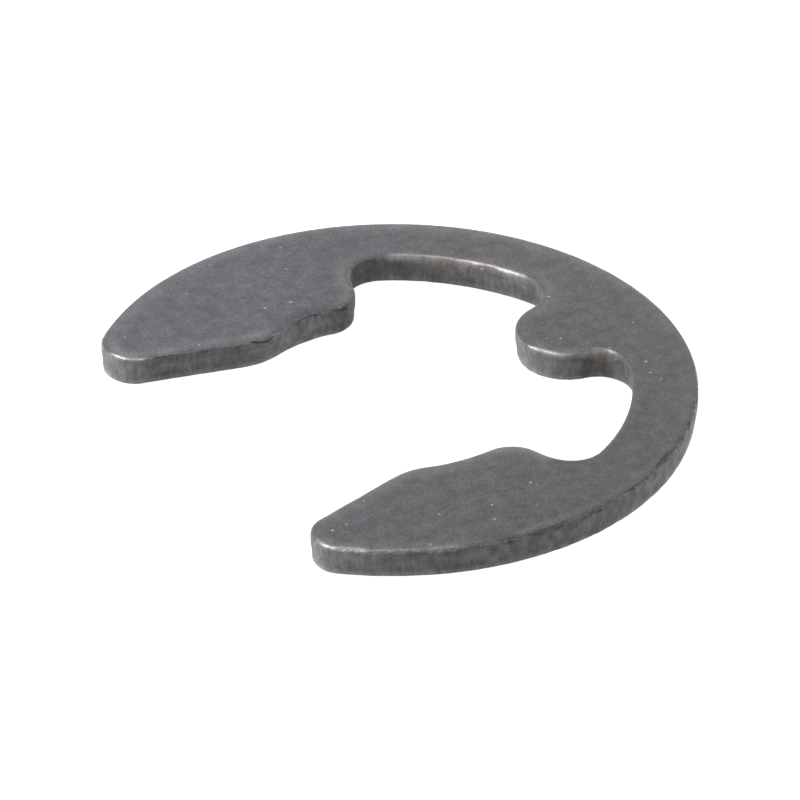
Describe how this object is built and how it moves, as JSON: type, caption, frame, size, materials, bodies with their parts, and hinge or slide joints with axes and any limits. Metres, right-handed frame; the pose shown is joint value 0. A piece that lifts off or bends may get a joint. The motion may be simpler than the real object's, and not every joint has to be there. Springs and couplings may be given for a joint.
{
  "type": "e-clip",
  "caption": "Flat stamped spring steel retaining clip: an open ring with two long pointed jaws, a side prong at each jaw's inner end, a centre prong and rounded relief pockets.",
  "frame": {"origin": "the ring's centre, which is the shaft's axis in use, on the bottom face (the face with the torn edge)", "axes": "+Z along the shaft's axis, up through the sheet to the die-roll side; +X from the ring's centre out through the mouth; the centre prong is on -X, and the XZ plane is the mirror plane"},
  "size_m": [0.0204, 0.024, 0.0012],
  "materials": {
    "phosphated_steel": "matt dark grey phosphate and oil, brighter on the rounded edges"
  },
  "bodies": {
    "root": {"e_clip": "phosphated_steel"}
  },
  "joints": []
}
